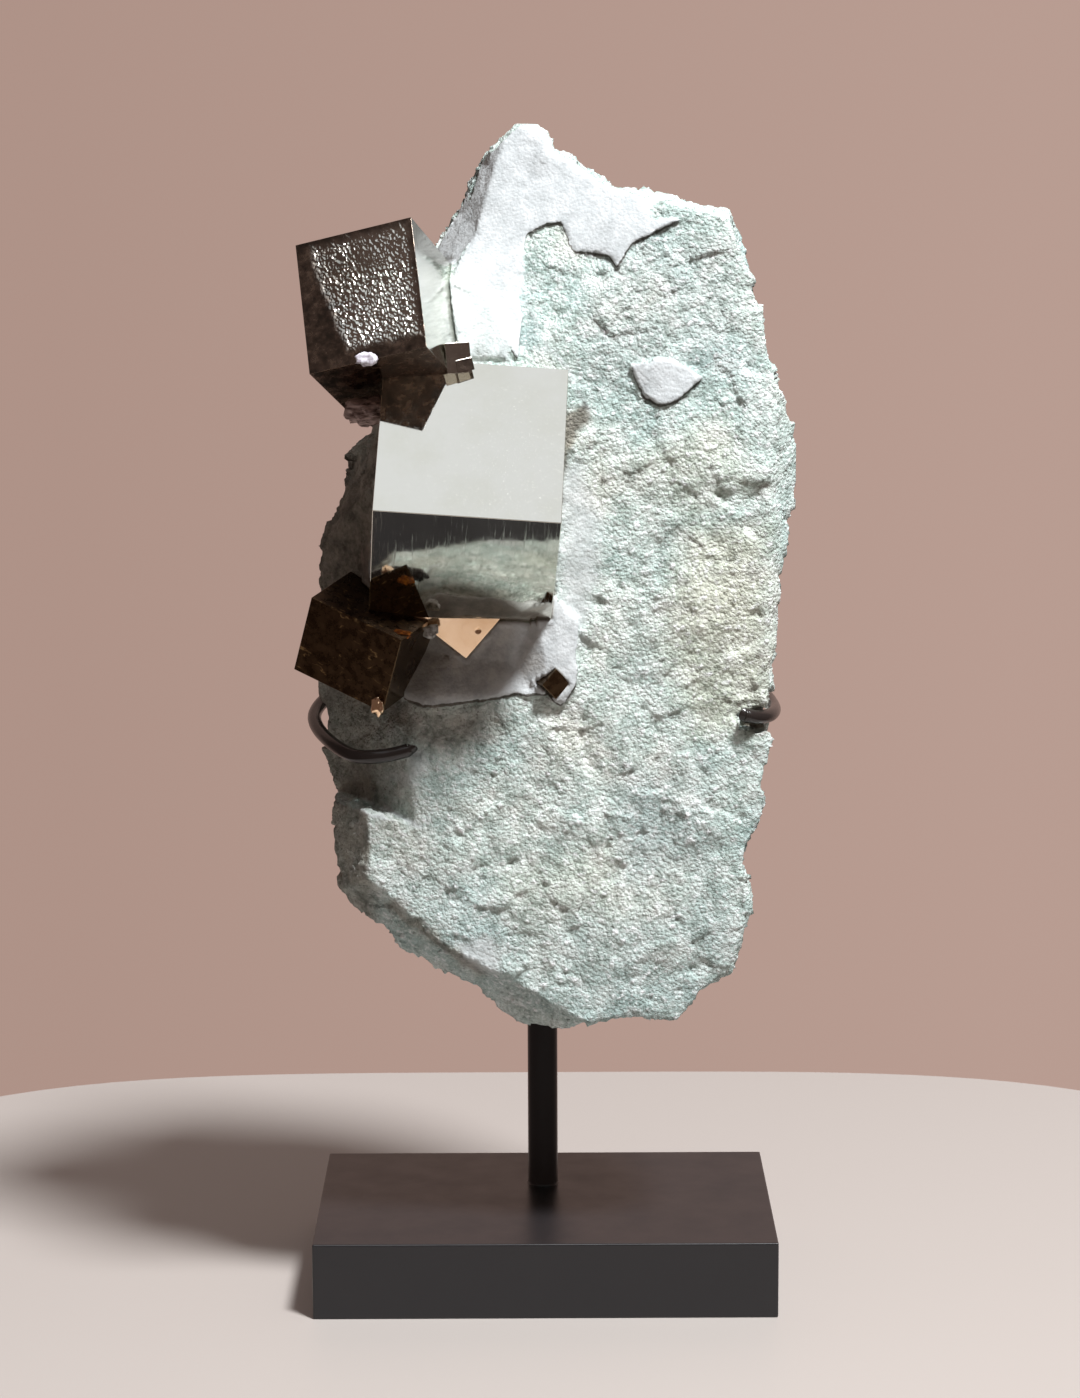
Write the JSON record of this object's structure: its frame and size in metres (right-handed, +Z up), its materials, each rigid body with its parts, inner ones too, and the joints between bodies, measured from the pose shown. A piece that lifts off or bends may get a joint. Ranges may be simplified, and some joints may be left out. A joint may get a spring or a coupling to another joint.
{
  "type": "mounted pyrite",
  "caption": "Cubes of pyrite in a slab of pale marl, held upright by wire prongs on a rod that stands on a black block.",
  "frame": {"origin": "middle of the base's underside, where the stand rests", "axes": "+Z up, the front with the crystals faces -Y, +X is right as seen from the front"},
  "size_m": [0.126, 0.111, 0.3037],
  "materials": {
    "black_paint": "satin black paint",
    "blackened_wire": "semi-gloss black paint",
    "marl": "rough broken marl with white crust",
    "pyrite": "natural crystal faces with metallic lustre"
  },
  "bodies": {
    "root": {"base": "black_paint", "rod": "black_paint", "left_prong": "blackened_wire", "right_prong": "blackened_wire", "matrix": "marl", "pyrite_cluster": "pyrite", "pyrite_lower_left": "pyrite", "pyrite_small": "pyrite"}
  },
  "joints": []
}
